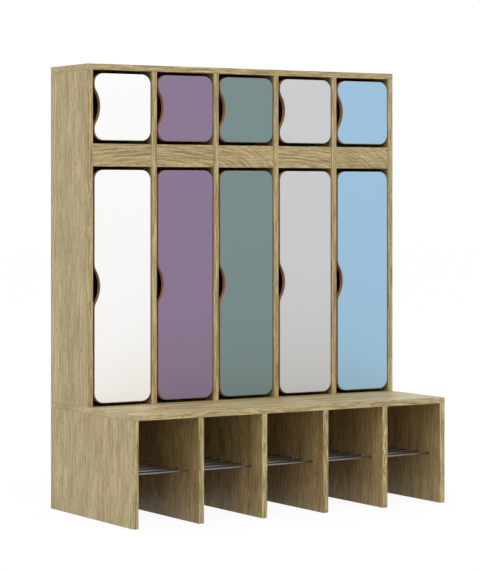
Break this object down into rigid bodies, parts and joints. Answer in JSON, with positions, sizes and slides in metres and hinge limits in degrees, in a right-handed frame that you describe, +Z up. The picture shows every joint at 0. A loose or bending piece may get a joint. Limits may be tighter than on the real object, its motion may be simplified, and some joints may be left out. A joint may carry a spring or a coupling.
{
  "type": "locker wardrobe with shoe bench",
  "caption": "Hallway locker wardrobe: tall bays with an upper and a lower hinged door each, finger notches in the doors, on a shoe bench with open bays and steel rods.",
  "frame": {"origin": "on the floor, under the middle of the outline", "axes": "+Z up, +Y to the wall behind, the doors and the bench front face -Y, +X to the right seen from the front"},
  "size_m": [1.108, 0.523, 1.35],
  "materials": {
    "oak_board": "oak-decor laminated board, matt, fine straight grain",
    "door_white": "MDF with a smooth satin white film face, bare brown edges",
    "door_mauve": "MDF with a smooth satin mauve film face, bare brown edges",
    "door_grey_green": "MDF with a smooth satin grey-green film face, bare brown edges",
    "door_light_grey": "MDF with a smooth satin light grey film face, bare brown edges",
    "door_light_blue": "MDF with a smooth satin light blue film face, bare brown edges",
    "hardboard": "3 mm hardboard, smooth brown",
    "beech": "turned beech, oiled",
    "rod_steel": "drawn steel rod, satin",
    "hinge_steel": "nickel-plated pressed steel",
    "zinc_steel": "zinc-plated steel"
  },
  "bodies": {
    "carcass": {"back_panel_screws": "zinc_steel", "bench_back": "hardboard", "bench_left_side": "oak_board", "bench_partition_1": "oak_board", "bench_partition_2": "oak_board", "bench_partition_3": "oak_board", "bench_partition_4": "oak_board", "bench_right_side": "oak_board", "bench_top": "oak_board", "cabinet_back": "hardboard", "carcass_screws": "zinc_steel", "coat_pegs": "beech", "dowels": "beech", "hat_shelf_1": "oak_board", "hat_shelf_2": "oak_board", "hat_shelf_3": "oak_board", "hat_shelf_4": "oak_board", "hat_shelf_5": "oak_board", "hinge_arms": "hinge_steel", "hinge_screws": "zinc_steel", "left_side": "oak_board", "partition_1": "oak_board", "partition_2": "oak_board", "partition_3": "oak_board", "partition_4": "oak_board", "rail_1": "oak_board", "rail_2": "oak_board", "rail_3": "oak_board", "rail_4": "oak_board", "rail_5": "oak_board", "right_side": "oak_board", "shelf_pins": "zinc_steel", "shoe_rods_1": "rod_steel", "shoe_rods_2": "rod_steel", "shoe_rods_3": "rod_steel", "shoe_rods_4": "rod_steel", "shoe_rods_5": "rod_steel", "top_panel": "oak_board"},
    "lower_door_1": {"lower_door_1": "door_white", "lower_hinge_cups_1": "hinge_steel"},
    "lower_door_2": {"lower_door_2": "door_mauve", "lower_hinge_cups_2": "hinge_steel"},
    "lower_door_3": {"lower_door_3": "door_grey_green", "lower_hinge_cups_3": "hinge_steel"},
    "lower_door_4": {"lower_door_4": "door_light_grey", "lower_hinge_cups_4": "hinge_steel"},
    "lower_door_5": {"lower_door_5": "door_light_blue", "lower_hinge_cups_5": "hinge_steel"},
    "upper_door_1": {"upper_door_1": "door_white", "upper_hinge_cups_1": "hinge_steel"},
    "upper_door_2": {"upper_door_2": "door_mauve", "upper_hinge_cups_2": "hinge_steel"},
    "upper_door_3": {"upper_door_3": "door_grey_green", "upper_hinge_cups_3": "hinge_steel"},
    "upper_door_4": {"upper_door_4": "door_light_grey", "upper_hinge_cups_4": "hinge_steel"},
    "upper_door_5": {"upper_door_5": "door_light_blue", "upper_hinge_cups_5": "hinge_steel"}
  },
  "joints": [
    {"name": "upper_door_1_hinge", "type": "hinge", "parent": "carcass", "child": "upper_door_1", "pos_m": [-0.35, 0.026, 1.222], "axis": [0, 0, 1], "range_deg": [0, 95]},
    {"name": "lower_door_1_hinge", "type": "hinge", "parent": "carcass", "child": "lower_door_1", "pos_m": [-0.35, 0.026, 0.686], "axis": [0, 0, 1], "range_deg": [0, 95]},
    {"name": "upper_door_2_hinge", "type": "hinge", "parent": "carcass", "child": "upper_door_2", "pos_m": [-0.132, 0.026, 1.222], "axis": [0, 0, 1], "range_deg": [0, 95]},
    {"name": "lower_door_2_hinge", "type": "hinge", "parent": "carcass", "child": "lower_door_2", "pos_m": [-0.132, 0.026, 0.686], "axis": [0, 0, 1], "range_deg": [0, 95]},
    {"name": "upper_door_3_hinge", "type": "hinge", "parent": "carcass", "child": "upper_door_3", "pos_m": [0.086, 0.026, 1.222], "axis": [0, 0, 1], "range_deg": [0, 95]},
    {"name": "lower_door_3_hinge", "type": "hinge", "parent": "carcass", "child": "lower_door_3", "pos_m": [0.086, 0.026, 0.686], "axis": [0, 0, 1], "range_deg": [0, 95]},
    {"name": "upper_door_4_hinge", "type": "hinge", "parent": "carcass", "child": "upper_door_4", "pos_m": [0.304, 0.026, 1.222], "axis": [0, 0, 1], "range_deg": [0, 95]},
    {"name": "lower_door_4_hinge", "type": "hinge", "parent": "carcass", "child": "lower_door_4", "pos_m": [0.304, 0.026, 0.686], "axis": [0, 0, 1], "range_deg": [0, 95]},
    {"name": "upper_door_5_hinge", "type": "hinge", "parent": "carcass", "child": "upper_door_5", "pos_m": [0.522, 0.026, 1.222], "axis": [0, 0, 1], "range_deg": [0, 95]},
    {"name": "lower_door_5_hinge", "type": "hinge", "parent": "carcass", "child": "lower_door_5", "pos_m": [0.522, 0.026, 0.686], "axis": [0, 0, 1], "range_deg": [0, 95]}
  ]
}
